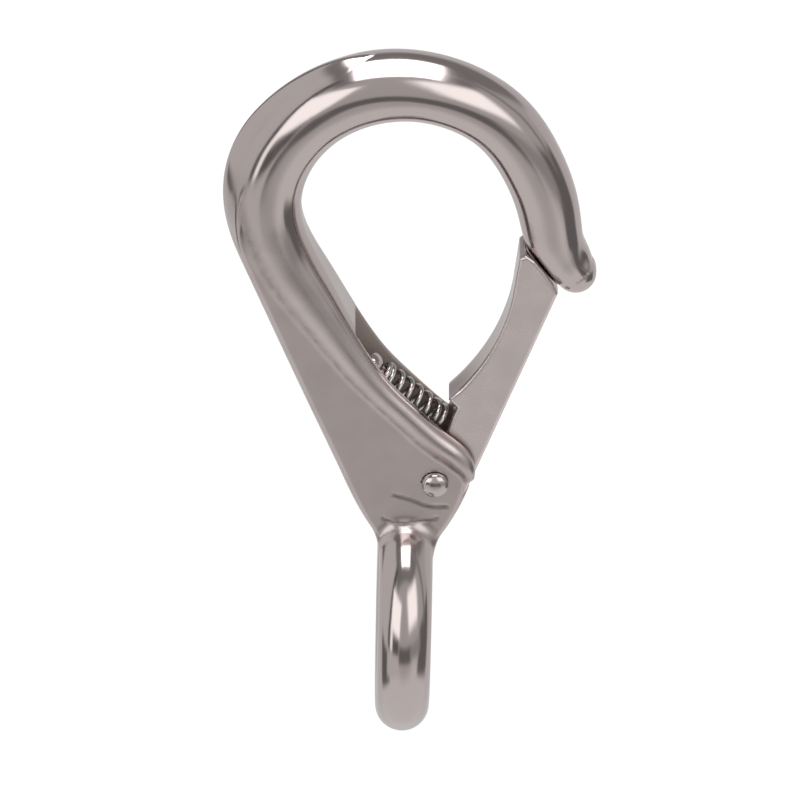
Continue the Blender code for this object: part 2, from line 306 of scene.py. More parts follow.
def smooth_step(value, start, end):
    t = np.clip((value - start) / (end - start), 0, 1)
    return t * t * (3 - 2 * t)


class Path:
    """A curve of smooth bend through stations of (x, z, ...), with values carried along it."""

    def __init__(self, stations):
        self.rows = np.array(stations, float)
        spans = np.linalg.norm(np.diff(self.rows[:, :2], axis=0), axis=1)
        self.knots = np.concatenate(([0], np.cumsum(spans)))
        count = len(self.rows)
        system = np.eye(count)
        target = np.zeros_like(self.rows)
        for i in range(1, count - 1):
            before, after = spans[i - 1], spans[i]
            system[i, i - 1: i + 2] = before, 2 * (before + after), after
            slope_after = (self.rows[i + 1] - self.rows[i]) / after
            slope_before = (self.rows[i] - self.rows[i - 1]) / before
            target[i] = 6 * (slope_after - slope_before)
        self.bends = np.linalg.solve(system, target)

    def at(self, t):
        """Position and values at each length t, with their first and second derivatives."""
        i = np.clip(np.searchsorted(self.knots, t, "right") - 1, 0, len(self.knots) - 2)
        span = (self.knots[i + 1] - self.knots[i])[:, None]
        b = (t - self.knots[i])[:, None] / span
        a = 1 - b
        first, last = self.rows[i], self.rows[i + 1]
        bend, next_bend = self.bends[i], self.bends[i + 1]
        value = a * first + b * last
        value += ((a ** 3 - a) * bend + (b ** 3 - b) * next_bend) * span ** 2 / 6
        slope = (last - first) / span
        slope += ((3 * b * b - 1) * next_bend - (3 * a * a - 1) * bend) * span / 6
        return value, slope, a * bend + b * next_bend

    def nearest(self, x, z):
        """For each point: its signed side distance, the distance, and the path's values there."""
        length = self.knots[-1]
        marks = np.linspace(0, length, round(length) + 2)
        line = self.at(marks)[0][:, :2]
        t = np.empty(len(x))
        for start in range(0, len(x), CHUNK):
            part = slice(start, start + CHUNK)
            gap = (x[part, None] - line[:, 0]) ** 2 + (z[part, None] - line[:, 1]) ** 2
            t[part] = marks[gap.argmin(axis=1)]
        for _ in range(NEAREST_ROUNDS):
            value, slope, bend = self.at(t)
            away_x, away_z = value[:, 0] - x, value[:, 1] - z
            error = away_x * slope[:, 0] + away_z * slope[:, 1]
            speed = slope[:, 0] ** 2 + slope[:, 1] ** 2
            curve = away_x * bend[:, 0] + away_z * bend[:, 1]
            pace = np.maximum(speed + curve, LEAST_CURVE * speed)
            t = np.clip(t - error / pace, 0, length)
        value, slope, _ = self.at(t)
        away_x, away_z = x - value[:, 0], z - value[:, 1]
        distance = np.hypot(away_x, away_z)
        side = np.sign(slope[:, 0] * away_z - slope[:, 1] * away_x)
        return side * distance, distance, value


def from_crown(degrees, radius):
    angle = radians(degrees)
    return BEND_X + radius * sin(angle), BEND_Z + radius * cos(angle)


def bar_path():
    bend = []
    for degrees, width, depth in BEND_STATIONS:
        bend.append((*from_crown(degrees, BEND_INNER_R + width), width, depth))
    return Path((*BEAD_STATIONS, *bend, *NOSE_STATIONS))


BAR = bar_path()
CREST = Path((*CREST_FOOT, *(from_crown(*station) for station in CREST_BEND)))
EDGE = Path(EDGE_STATIONS)


def bar_field(x, y, z):
    """The swept bar, with each point's signed distance from its middle line and its half width."""
    side, distance, value = BAR.nearest(x, z)
    width, depth = value[:, 2], value[:, 3]
    across = np.maximum(distance - np.maximum(width - depth, 0), 0)
    deep = np.maximum(np.abs(y) - np.maximum(depth - width, 0), 0)
    return np.hypot(across, deep) - np.minimum(width, depth), side, width


def turn_from_crown(x, z):
    """The angle about the bend's centre, from the crown; the side of the web is negative."""
    turn = np.degrees(np.arctan2(x - BEND_X, z - BEND_Z))
    return np.where(turn > 90, turn - 360, turn)


def web_field(x, y, z, bar_side, bar_half):
    """The cheeks: a plate with a low roof for its outer edge.

    Round the bend the roof steepens until it is tangent to the bar, as a keel on its back.
    """
    turn = turn_from_crown(x, z)
    keel = smooth_step(turn, KEEL_START, KEEL_FULL)
    past_crest = CREST.nearest(x, z)[0]
    # The roof's angle is real only beside a bar wider than its round, so not at the bead's end
    bar_half = np.maximum(bar_half, 2 * CREST_ROUND)
    height = np.maximum(bar_side - past_crest, bar_half)
    tilt = np.arcsin(bar_half / np.hypot(height, CREST_ROUND)) - np.arctan(CREST_ROUND / height)
    slope = ROOF_SLOPE + (1 / np.tan(tilt) - ROOF_SLOPE) * keel
    half = WEB_HALF_DEPTH + (bar_half * np.cos(tilt) - WEB_HALF_DEPTH) * keel
    half = half - (half + FADE_SINK) * smooth_step(turn, FADE_START, FADE_END)
    level = np.hypot(y, CREST_ROUND) - CREST_ROUND
    lean = np.sqrt(1 + slope ** 2)
    crest = (past_crest + slope * level) / lean
    edge = (EDGE.nearest(x, z)[0] + slope * level) / lean
    roof = soft_max(crest, edge, CORNER_ROUND)
    plate = soft_max(roof, np.abs(y) - half, RIDGE_ROUND)
    plate = soft_max(plate, WEB_FLOOR_Z - z, WEB_FLOOR_ROUND)
    return np.maximum(plate, -bar_side), keel


def eye_field(x, y, z):
    across = x * cos(EYE_LEAN) - z * sin(EYE_LEAN)
    up = x * sin(EYE_LEAN) + z * cos(EYE_LEAN)
    return np.hypot(np.hypot(y, up) - EYE_R, across) - EYE_WIRE_R


def seat_field(x, y, z):
    """The post in the slot that the spring stands against, with its stub inside the coil."""
    run_x, run_z = spring_run()
    off_x, off_z = x - SPRING_FAR[0], z - SPRING_FAR[1]
    along = off_x * run_x + off_z * run_z
    rise = off_z * run_x - off_x * run_z
    flat = SEAT_HALF_LENGTH / SEAT_HALF_WIDTH
    post = np.hypot(along + SEAT_HALF_LENGTH + SEAT_GAP, y * flat) - SEAT_HALF_LENGTH
    ends = np.abs(rise - (SEAT_TOP + SEAT_FOOT) / 2) - (SEAT_TOP - SEAT_FOOT) / 2
    stub = soft_max(np.hypot(rise, y) - STUB_R, np.abs(along) - STUB_LENGTH, STUB_ROUND)
    return np.minimum(soft_max(post, ends, SEAT_ROUND), stub)


def spring_run():
    """The direction of the spring in the XZ plane, from its post to the gate."""
    dx, dz = SPRING_NEAR[0] - SPRING_FAR[0], SPRING_NEAR[1] - SPRING_FAR[1]
    length = np.hypot(dx, dz)
    return dx / length, dz / length


def outline_field(x, z, outline):
    """Signed distance to a closed outline of straight runs."""
    points = np.array(outline, float)
    best = np.full(len(x), np.inf)
    inside = np.zeros(len(x), bool)
    for (ax, az), (bx, bz) in zip(points, np.roll(points, -1, axis=0)):
        ex, ez = bx - ax, bz - az
        t = np.clip(((x - ax) * ex + (z - az) * ez) / (ex * ex + ez * ez), 0, 1)
        best = np.minimum(best, np.hypot(x - ax - t * ex, z - az - t * ez))
        crosses = (az > z) != (bz > z)
        if ez:
            inside ^= crosses & (x < ax + (z - az) * ex / ez)
    return np.where(inside, -best, best)


def place(x, z):
    """A point of the hook's plane in the scene's metres."""
    return Vector((x, 0, z)) * MM


def arc(x, z, radius, start, end, count):
    angles = np.linspace(start, end, count + 1)
    return [(x + radius * cos(angle), z + radius * sin(angle)) for angle in angles]


def slot_outline():
    """The slot from the side: its end, its floor, the shoulder and root, and its open side."""
    run_x, run_z = spring_run()
    reach = SPRING_R + SLOT_FLOOR_GAP
    x, z = SPRING_NEAR[0] + run_z * reach, SPRING_NEAR[1] - run_x * reach
    offset_x, offset_z = x - PIVOT_X, z - PIVOT_Z
    along = -(offset_x * run_x + offset_z * run_z)
    along -= np.sqrt(along ** 2 - offset_x ** 2 - offset_z ** 2 + SLOT_SHOULDER_R ** 2)
    floor_x, floor_z = x + run_x * along, z + run_z * along
    turn = atan2(floor_z - PIVOT_Z, floor_x - PIVOT_X)
    back = (SLOT_END_FOOT[0] - floor_x) * run_x + (SLOT_END_FOOT[1] - floor_z) * run_z
    outline = [SLOT_END_TOP, SLOT_END_FOOT, (floor_x + run_x * back, floor_z + run_z * back)]
    shoulder_end = turn + SLOT_SHOULDER_SPAN
    root_start = turn + SLOT_ROOT_LEFT
    outline += arc(PIVOT_X, PIVOT_Z, SLOT_SHOULDER_R, turn, shoulder_end, count=2)
    outline += arc(PIVOT_X, PIVOT_Z, SLOT_ROOT_R, root_start, SLOT_ROOT_RIGHT, count=24)
    return outline + list(SLOT_OPEN)


SLOT = slot_outline()


def slot_field(x, y, z):
    return soft_max(outline_field(x, z, SLOT), np.abs(y) - SLOT_HALF_DEPTH, SLOT_ROUND)


def crease_depth(x, y, z):
    """How deep the tooling creases cut, which fades at their ends."""
    depth = np.zeros(len(x))
    for stations in CREASES:
        path = Path(stations)
        gap = path.nearest(x, z)[1]
        depth = np.maximum(depth, CREASE_DEPTH * (1 - smooth_step(gap, 0, CREASE_R)))
    return depth * (y < 0)


def body_parts(points):
    x, y, z = points.T
    bar, side, half = bar_field(x, y, z)
    web, keel = web_field(x, y, z, side, half)
    return bar, web, eye_field(x, y, z), keel


def body_field(points):
    """The whole hook body."""
    x, y, z = points.T
    bar, web, eye, keel = body_parts(points)
    solid = soft_min(bar, web, GROOVE + (KEEL_GROOVE - GROOVE) * keel)
    solid = soft_min(solid, eye, NECK_FILLET)
    solid = soft_max(solid, -slot_field(x, y, z), SLOT_ROUND)
    solid = np.maximum(solid, HOLE_R - np.hypot(x - PIVOT_X, z - PIVOT_Z))
    solid = solid + crease_depth(x, y, z)
    dish = (points - DISH) / DISH_R
    dish = (np.linalg.norm(dish, axis=1) - 1) * min(DISH_R)
    solid = soft_max(solid, -dish, DISH_ROUND)
    return np.minimum(solid, seat_field(x, y, z))


def tangent_angle(x, z, side):
    """Where the line from a point touches the gate's round root, as an angle."""
    dx, dz = x - PIVOT_X, z - PIVOT_Z
    return atan2(dz, dx) + side * np.arccos(GATE_LUG_R / np.hypot(dx, dz))


def gate_inner_centre():
    """The centre of the arc of the gate's inner edge."""
    dx = GATE_INNER_FOOT[0] - GATE_INNER_TOP[0]
    dz = GATE_INNER_FOOT[1] - GATE_INNER_TOP[1]
    chord = np.hypot(dx, dz)
    rise = np.sqrt(GATE_INNER_R ** 2 - chord ** 2 / 4)
    x = (GATE_INNER_FOOT[0] + GATE_INNER_TOP[0]) / 2 + dz / chord * rise
    z = (GATE_INNER_FOOT[1] + GATE_INNER_TOP[1]) / 2 - dx / chord * rise
    return x, z


def gate_outline():
    """The gate from the side: its heel and top, inner arc, spring shoulder and round root."""
    x, z = gate_inner_centre()
    start = atan2(GATE_INNER_TOP[1] - z, GATE_INNER_TOP[0] - x)
    end = atan2(GATE_INNER_FOOT[1] - z, GATE_INNER_FOOT[0] - x)
    outline = [GATE_HEEL, *GATE_TOP]
    outline += arc(x, z, GATE_INNER_R, start, end, count=24)
    outline += GATE_SHOULDER
    start = tangent_angle(*GATE_SHOULDER[-1], 1)
    end = tangent_angle(*GATE_HEEL, -1) + 2 * pi
    return outline + arc(PIVOT_X, PIVOT_Z, GATE_LUG_R, start, end, count=30)


GATE = gate_outline()


def gate_field(points):
    """The flat lever: a plate, well rounded inside at its back, with a saddle for the nose.

    Below MOUTH_Z the bar runs beside the lever and cuts nothing from it.
    """
    x, y, z = points.T
    solid = round_max(outline_field(x, z, GATE), np.abs(y) - GATE_HALF_DEPTH, GATE_ROUND)
    centre_x, centre_z = gate_inner_centre()
    inner = GATE_INNER_R - np.hypot(x - centre_x, z - centre_z)
    solid = np.maximum(solid, round_max(inner, y - GATE_HALF_DEPTH, GATE_BACK_ROUND))
    clear = GATE_HALF_DEPTH
    nose = np.where(z > MOUTH_Z, bar_field(x, y, z)[0] - NOSE_GAP, clear)
    solid = soft_max(solid, -nose, GATE_ROUND)
    return np.maximum(solid, HOLE_R - np.hypot(x - PIVOT_X, z - PIVOT_Z))


# ---------------------------------------------------------------- skinning a field

def sample(field, axes):
    grid = np.stack(np.meshgrid(*axes, indexing="ij"), axis=-1)
    return field(grid.reshape(-1, 3)).reshape(grid.shape[:3])


def cell_corners(values):
    """The eight corner arrays of every cell of a grid."""
    ends = (slice(None, -1), slice(1, None))
    return [values[a, b, c] for a in ends for b in ends for c in ends]


def grid_values(field, low, high, step):
    """Values on a grid; away from the surface only their sign is right."""
    counts = [int(np.ceil((b - a) / (step * BLOCK))) for a, b in zip(low, high)]
    axes = [a + step * np.arange(n * BLOCK + 1) for a, n in zip(low, counts)]
    coarse = sample(field, [axis[::BLOCK] for axis in axes])
    near = np.min(np.abs(cell_corners(coarse)), axis=0) < step * BLOCK * BLOCK_REACH
    near = near.repeat(BLOCK, 0).repeat(BLOCK, 1).repeat(BLOCK, 2)
    wanted = np.zeros([len(axis) for axis in axes], bool)
    for corner in cell_corners(wanted):
        corner |= near
    values = coarse[np.ix_(*(np.arange(len(axis)) // BLOCK for axis in axes))]
    i, j, k = np.nonzero(wanted)
    values[i, j, k] = field(np.stack((axes[0][i], axes[1][j], axes[2][k]), axis=-1))
    return values, axes


def surface_cells(values, axes):
    """A vertex in every cell that the surface passes, at the mean of its edge crossings."""
    corners = np.stack(cell_corners(values), axis=-1)
    inside = (corners < 0).sum(axis=-1)
    cells = np.argwhere((inside > 0) & (inside < 8))
    picked = corners[tuple(cells.T)]
    places = np.array([(a, b, c) for a in (0, 1) for b in (0, 1) for c in (0, 1)], float)
    total = np.zeros((len(cells), 3))
    count = np.zeros(len(cells))
    for first in range(8):
        for bit in (1, 2, 4):
            second = first | bit
            if second == first:
                continue
            a, b = picked[:, first], picked[:, second]
            cut = (a < 0) != (b < 0)
            share = np.where(cut, a / np.where(cut, a - b, 1), 0)
            spot = places[first] + share[:, None] * (places[second] - places[first])
            total += spot * cut[:, None]
            count += cut
    origin = np.array([axis[0] for axis in axes])
    step = axes[0][1] - axes[0][0]
    index = np.full(np.array(values.shape) - 1, -1)
    index[tuple(cells.T)] = np.arange(len(cells))
    return origin + step * (cells + total / count[:, None]), index


def surface_quads(values, index):
    """One quad for each grid edge that the surface cuts, facing out."""
    quads = []
    inside = values < 0
    for axis in range(3):
        solid = np.moveaxis(inside, (axis, (axis + 1) % 3, (axis + 2) % 3), (0, 1, 2))
        cell = np.moveaxis(index, (axis, (axis + 1) % 3, (axis + 2) % 3), (0, 1, 2))
        start, end = solid[:-1, 1:-1, 1:-1], solid[1:, 1:-1, 1:-1]
        for outward, order in ((start & ~end, (0, 1, 2, 3)), (end & ~start, (3, 2, 1, 0))):
            i, j, k = np.nonzero(outward)
            ring = (cell[i, j, k], cell[i, j + 1, k], cell[i, j + 1, k + 1], cell[i, j, k + 1])
            quads.append(np.stack([ring[corner] for corner in order], axis=-1))
    return np.concatenate(quads)


def slope_of(field, points):
    """The field's gradient at each point."""
    slopes = np.empty_like(points)
    for axis in range(3):
        offset = np.zeros(3)
        offset[axis] = SLOPE_REACH
        slopes[:, axis] = (field(points + offset) - field(points - offset)) / (2 * SLOPE_REACH)
    return slopes


def onto_surface(field, points):
    slopes = slope_of(field, points)
    steepness = np.maximum((slopes ** 2).sum(axis=1), LEAST_STEEPNESS)
    return points - slopes * (field(points) / steepness)[:, None]


def evened(points, quads):
    """Each point moved halfway to the mean of its neighbours."""
    total = np.zeros_like(points)
    count = np.zeros(len(points))
    for side in range(4):
        a, b = quads[:, side], quads[:, (side + 1) % 4]
        for axis in range(3):
            total[:, axis] += np.bincount(a, points[b, axis], len(points))
            total[:, axis] += np.bincount(b, points[a, axis], len(points))
        count += np.bincount(a, minlength=len(points)) + np.bincount(b, minlength=len(points))
    return (points + total / count[:, None]) / 2


def add_object(name, data):
    obj = bpy.data.objects.new(name, data)
    bpy.context.scene.collection.objects.link(obj)
    return obj


def smooth_mesh(name, work, sharp_angle):
    """A smooth-shaded mesh made from a bmesh, which is freed."""
    bmesh.ops.recalc_face_normals(work, faces=work.faces)
    mesh = bpy.data.meshes.new(name)
    work.to_mesh(mesh)
    work.free()
    mesh.shade_smooth()
    mesh.set_sharp_from_angle(angle=sharp_angle)
    return mesh


def skinned(name, field, low, high, step):
    """A quad mesh of the surface where the field is zero, with its points in millimetres."""
    values, axes = grid_values(field, low, high, step)
    points, index = surface_cells(values, axes)
    quads = surface_quads(values, index)
    for _ in range(EVENING_ROUNDS):
        points = onto_surface(field, evened(points, quads))
    points = onto_surface(field, points)
    normals = slope_of(field, points)
    normals /= np.linalg.norm(normals, axis=1)[:, None]
    mesh = bpy.data.meshes.new(name)
    mesh.from_pydata((points * MM).tolist(), [], quads.tolist())
    mesh.shade_smooth()
    mesh.normals_split_custom_set_from_vertices(normals.tolist())
    return add_object(name, mesh), points


def paint(obj, name, values):
    """A number for each point of the mesh, which its material reads."""
    layer = obj.data.attributes.new(name, "FLOAT", "POINT")
    layer.data.foreach_set("value", np.asarray(values, np.float32))


def node_limits(node):
    """The box round a CAD node in millimetres, with a margin."""
    low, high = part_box(node)
    return np.array(low) / MM - MARGIN, np.array(high) / MM + MARGIN


# ---------------------------------------------------------------- pieces

def grid_step():
    return STEP


def build_body():
    body, points = skinned("hook_casting", body_field, *node_limits("hook_body"), grid_step())
    bar, web, eye, keel = body_parts(points)
    round_part = np.minimum(bar, eye)
    bright = smooth_step(web - round_part, *POLISH_EDGE)
    paint(body, "polish", np.maximum(bright, smooth_step(keel, *KEEL_POLISH_EDGE)))
    groove = np.sort(np.stack((bar, web, eye)), axis=0)[1]
    deep = crease_depth(*points.T) / CREASE_DEPTH
    slot_wall = 1 - smooth_step(np.abs(slot_field(*points.T)), *CAST_SKIN_EDGE)
    # Painted shade: marks where the colour is darkened in the grooves between the parts and in the
    # creases
    shade_in_grooves = (1 - smooth_step(groove, *GROOVE_SHADE_EDGE)) * (1 - keel)
    paint(body, "recess_shade", np.maximum(shade_in_grooves, deep) * (1 - slot_wall))
    paint(body, "cast_skin", slot_wall)
    return body


def build_gate():
    step = grid_step() * GATE_STEP_SHARE
    gate, points = skinned("gate_lever", gate_field, *node_limits("gate"), step)
    depth = GATE_HALF_DEPTH - np.abs(points[:, 1])
    paint(gate, "polish", smooth_step(depth, *GATE_POLISH_EDGE))
    return gate


def build_spring():
    """A wire coil with closed ends, from the body's post to the gate's shoulder."""
    run_x, run_z = spring_run()
    run = Vector((run_x, 0, run_z))
    rise = Vector((-run_z, 0, run_x))
    across = run.cross(rise)
    far = Vector((SPRING_FAR[0], 0, SPRING_FAR[1]))
    length = np.hypot(SPRING_NEAR[0] - SPRING_FAR[0], SPRING_NEAR[1] - SPRING_FAR[1])
    radius = SPRING_R - SPRING_WIRE_R
    count = round(SPRING_TURNS * SPRING_POINTS_PER_TURN)
    work = bmesh.new()
    rings = []
    for i in range(count + 1):
        angle = 2 * pi * i / SPRING_POINTS_PER_TURN
        along = coil_advance(i / count) * (length - 2 * SPRING_WIRE_R) + SPRING_WIRE_R
        outward = rise * cos(angle) + across * sin(angle)
        centre = far + run * along + outward * radius
        ring = []
        for side in range(SPRING_WIRE_SIDES):
            around = 2 * pi * side / SPRING_WIRE_SIDES
            offset = outward * cos(around) + run * sin(around)
            ring.append(work.verts.new((centre + offset * SPRING_WIRE_R) * MM))
        rings.append(ring)
    for ring, following in zip(rings, rings[1:]):
        for side in range(SPRING_WIRE_SIDES):
            beside = (side + 1) % SPRING_WIRE_SIDES
            work.faces.new((ring[side], ring[beside], following[beside], following[side]))
    work.faces.new(rings[0])
    work.faces.new(rings[-1])
    return add_object("coil_spring", smooth_mesh("coil_spring", work, SPRING_SHARP_ANGLE))


def coil_advance(share):
    """How far along its length the coil is: slower in the first and the last turn."""
    dead = END_TURN / SPRING_TURNS
    live = (1 - 2 * dead * END_PITCH) / (1 - 2 * dead)
    if share < dead:
        return share * END_PITCH
    if share > 1 - dead:
        return 1 - (1 - share) * END_PITCH
    return dead * END_PITCH + (share - dead) * live


def dome_outline(radius, foot, rise, steps):
    """Points from the top of a dome down to its foot, as (radius, height)."""
    angles = [pi / 2 * (1 - i / steps) for i in range(1, steps + 1)]
    return [(0, foot + rise)] + [(radius * cos(a), foot + rise * sin(a)) for a in angles]


def build_rivet():
    """A turned rivet: a domed head in front and a flatter, hammered one behind."""
    front, back = -RIVET_LOW.y / MM, RIVET_HIGH.y / MM
    head_r = (RIVET_HIGH.x - RIVET_LOW.x) / 2 / MM - HEAD_INSET
    seat = WEB_HALF_DEPTH + HEAD_GAP
    rim = (front - seat) * HEAD_RIM_SHARE
    profile = dome_outline(head_r, seat + rim, front - seat - rim, steps=12)
    profile += [(head_r, seat + HEAD_RIM), (head_r - HEAD_RIM, seat)]
    profile += [(RIVET_R, seat), (RIVET_R, -seat)]
    profile += [(head_r - BACK_CHAMFER, -seat), (head_r, -seat - BACK_CHAMFER)]
    peened = dome_outline(head_r, seat + BACK_RIM, back - seat - BACK_RIM, steps=8)
    profile += [(x, -z) for x, z in reversed(peened[:-1])]
    work = bmesh.new()
    verts = [work.verts.new((x * MM, 0, z * MM)) for x, z in profile]
    edges = [work.edges.new(pair) for pair in zip(verts, verts[1:])]
    turned = verts + edges
    bmesh.ops.spin(
        work, geom=turned, cent=(0, 0, 0), axis=(0, 0, 1), angle=2 * pi, steps=RIVET_SIDES
    )
    bmesh.ops.remove_doubles(work, verts=work.verts, dist=WELD)
    rivet = add_object("rivet_pin", smooth_mesh("rivet_pin", work, RIVET_SHARP_ANGLE))
    rivet.location = place(PIVOT_X, PIVOT_Z)
    rivet.rotation_euler = (pi / 2, 0, 0)
    return rivet


# ---------------------------------------------------------------- materials

class Shader:
    """A Principled metal and the nodes that feed it."""

    def __init__(self, name):
        self.material = bpy.data.materials.new(name)
        self.material.use_nodes = True
        self.nodes = self.material.node_tree.nodes
        self.links = self.material.node_tree.links
        self.surface = self.nodes["Principled BSDF"]
        self.surface.inputs["Metallic"].default_value = 1
        self.place = self.nodes.new("ShaderNodeTexCoord").outputs["Object"]

    def link(self, value, socket):
        if isinstance(value, bpy.types.NodeSocket):
            self.links.new(value, socket)
        else:
            socket.default_value = value

    def noise(self, scale, detail):
        """Noise with features of about 1 / scale metres."""
        node = self.nodes.new("ShaderNodeTexNoise")
        node.inputs["Scale"].default_value = scale
        node.inputs["Detail"].default_value = detail
        self.links.new(self.place, node.inputs["Vector"])
        return node.outputs["Fac"]

    def spread(self, value, low, high, out_low=0.0, out_high=1.0):
        """A value from low to high, mapped to the range from out_low to out_high."""
        node = self.nodes.new("ShaderNodeMapRange")
        self.link(value, node.inputs["Value"])
        node.inputs["From Min"].default_value = low
        node.inputs["From Max"].default_value = high
        self.link(out_low, node.inputs["To Min"])
        self.link(out_high, node.inputs["To Max"])
        return node.outputs["Result"]

    def math(self, operation, a, b):
        node = self.nodes.new("ShaderNodeMath")
        node.operation = operation
        self.link(a, node.inputs[0])
        self.link(b, node.inputs[1])
        return node.outputs["Value"]

    def mix(self, share, first, second):
        node = self.nodes.new("ShaderNodeMix")
        node.data_type = "RGBA"
        self.link(share, node.inputs["Factor"])
        self.link(first, node.inputs["A"])
        self.link(second, node.inputs["B"])
        return node.outputs["Result"]

    def painted(self, name):
        """The number that paint() gave the mesh's points under that name."""
        node = self.nodes.new("ShaderNodeAttribute")
        node.attribute_name = name
        return node.outputs["Fac"]

    def bump(self, height, distance, strength, before=None):
        node = self.nodes.new("ShaderNodeBump")
        node.inputs["Distance"].default_value = distance
        self.link(strength, node.inputs["Strength"])
        self.links.new(height, node.inputs["Height"])
        if before is not None:
            self.links.new(before, node.inputs["Normal"])
        return node.outputs["Normal"]


STEEL = (0.62, 0.545, 0.53, 1)
DULL_STEEL = (0.67, 0.585, 0.565, 1)
# Painted light: the gate's dull steel is the body's steel made much lighter, so the gate shows
# brighter than its light alone makes it
GATE_LIT_STEEL = (0.86, 0.755, 0.735, 1)
WORN_SHADE = 0.94
# Painted shade: a darker colour mixed in, in patches, where shade falls in the grooves between bar,
# web and eye and in the tooling creases
GROOVE_SHADE = (0.20, 0.17, 0.155, 1)
GROOVE_SHADE_SHARE = (0.45, 0.8)
CAST_SKIN = (0.32, 0.268, 0.24, 1)
CAST_SKIN_ROUGHNESS = 0.6
CAST_SKIN_SHARE = 0.85
WIRE_SHADES = ((0.50, 0.47, 0.45, 1), (0.66, 0.63, 0.61, 1))
RIVET_SHADES = ((0.56, 0.51, 0.49, 1), (0.68, 0.63, 0.61, 1))

# The values that a noise mostly runs between, and a range that leaves its low part out
NOISE_RANGE = (0.3, 0.7)
PATCH_RANGE = (0.35, 0.7)

# How far the roughness runs to either side of its middle value
DULL_SPREAD = (-0.03, 0.05)
BRIGHT_SPREAD = (-0.02, 0.03)

# Noises: features to the metre, and detail
BLOTCHES = (260, 3)
GRAIN = (5200, 2)
WAVES = (120, 1)
GROOVE_SHADE_PATCHES = (900, 3)
DRAWN_MARKS = (2600, 3)
HAMMER_MARKS = (2200, 4)
FLOOR_CLOUDS = (3, 2)

# Heights of the bumps, in metres, and their strength: the grain's is on dull and on polished steel
WAVE_HEIGHT = 0.00025
WAVE_STRENGTH = 0.5
GRAIN_HEIGHT = 0.00003
GRAIN_STRENGTH = (0.35, 0.05)
HAMMER_HEIGHT = 0.00002
DRAWN_HEIGHT = 0.00001


def cast_material(name, dull_colour, dull_roughness, bright_roughness):
    """Tumbled stainless, as a Shader: satin on the flats, and bright where it is polished."""
    shader = Shader(name)
    polish = shader.painted("polish")
    blotch = shader.noise(*BLOTCHES)
    grain = shader.noise(*GRAIN)
    waves = shader.noise(*WAVES)
    worn_colour = (*(WORN_SHADE * share for share in dull_colour[:3]), 1)
    colour = shader.mix(shader.spread(blotch, *PATCH_RANGE), dull_colour, worn_colour)
    colour = shader.mix(polish, colour, STEEL)
    dull_range = [dull_roughness + part for part in DULL_SPREAD]
    dull = shader.spread(blotch, *NOISE_RANGE, *dull_range)
    bright_range = [bright_roughness + part for part in BRIGHT_SPREAD]
    bright = shader.spread(blotch, *NOISE_RANGE, *bright_range)
    roughness = shader.spread(polish, 0, 1, dull, bright)
    shader.link(colour, shader.surface.inputs["Base Color"])
    shader.link(roughness, shader.surface.inputs["Roughness"])
    swell = shader.bump(waves, WAVE_HEIGHT, WAVE_STRENGTH)
    strength = shader.spread(polish, 0, 1, *GRAIN_STRENGTH)
    shader.link(shader.bump(grain, GRAIN_HEIGHT, strength, swell), shader.surface.inputs["Normal"])
    return shader


def casting_material():
    """The cast steel, with painted shade darkening its grooves and creases and a dull skin in its
    slot.
    """
    shader = cast_material("polished_casting", DULL_STEEL, dull_roughness=0.30, bright_roughness=0.13)
    recess_shade = shader.painted("recess_shade")
    unshaded = shader.surface.inputs["Base Color"].links[0].from_socket
    # Painted shade: the grooves and creases are darkened, in patches, towards the painted shade colour
    patch = shader.spread(shader.noise(*GROOVE_SHADE_PATCHES), *PATCH_RANGE, *GROOVE_SHADE_SHARE)
    shade_share = shader.math("MULTIPLY", recess_shade, patch)
    skin = shader.math("MULTIPLY", shader.painted("cast_skin"), CAST_SKIN_SHARE)
    colour = shader.mix(skin, shader.mix(shade_share, unshaded, GROOVE_SHADE), CAST_SKIN)
    shader.link(colour, shader.surface.inputs["Base Color"])
    smooth = shader.surface.inputs["Roughness"].links[0].from_socket
    rough = shader.spread(skin, 0, 1, smooth, CAST_SKIN_ROUGHNESS)
    shader.link(rough, shader.surface.inputs["Roughness"])
    shader.link(shader.math("SUBTRACT", 1.0, skin), shader.surface.inputs["Metallic"])
    return shader.material


def mottled_material(name, marks, shades, roughness, height, strength):
    """A plain steel, with one noise for its shade, its roughness and its small bumps."""
    shader = Shader(name)
    mottle = shader.noise(*marks)
    rough = shader.spread(mottle, *NOISE_RANGE, *roughness)
    shader.link(shader.mix(mottle, *shades), shader.surface.inputs["Base Color"])
    shader.link(rough, shader.surface.inputs["Roughness"])
    shader.link(shader.bump(mottle, height, strength), shader.surface.inputs["Normal"])
    return shader.material


def wire_material():
    return mottled_material(
        "spring_wire",
        DRAWN_MARKS,
        WIRE_SHADES,
        roughness=(0.12, 0.22),
        height=DRAWN_HEIGHT,
        strength=0.3,
    )


def rivet_material():
    return mottled_material(
        "rivet_steel",
        HAMMER_MARKS,
        RIVET_SHADES,
        roughness=(0.10, 0.20),
        height=HAMMER_HEIGHT,
        strength=0.4,
    )


# ---------------------------------------------------------------- studio

# Camera and floor, in metres: the width is what the camera sees at its aim, and the floor's
# drop is measured from the hook's lowest point
VIEW_ELEVATION = radians(32)
VIEW_WIDTH = 0.10272
VIEW_DISTANCE = 4.0
VIEW_LIMIT = 20
VIEW_AIM = Vector((-0.0005, 0, 0.0315))
FLOOR_DROP = 0.040
FLOOR_R = 6.0
FLOOR_SIDES = 96
FLOOR_SHADES = ((0.93, 0.93, 0.93, 1), (0.95, 0.95, 0.95, 1))
FLOOR_ROUGHNESS = 0.9

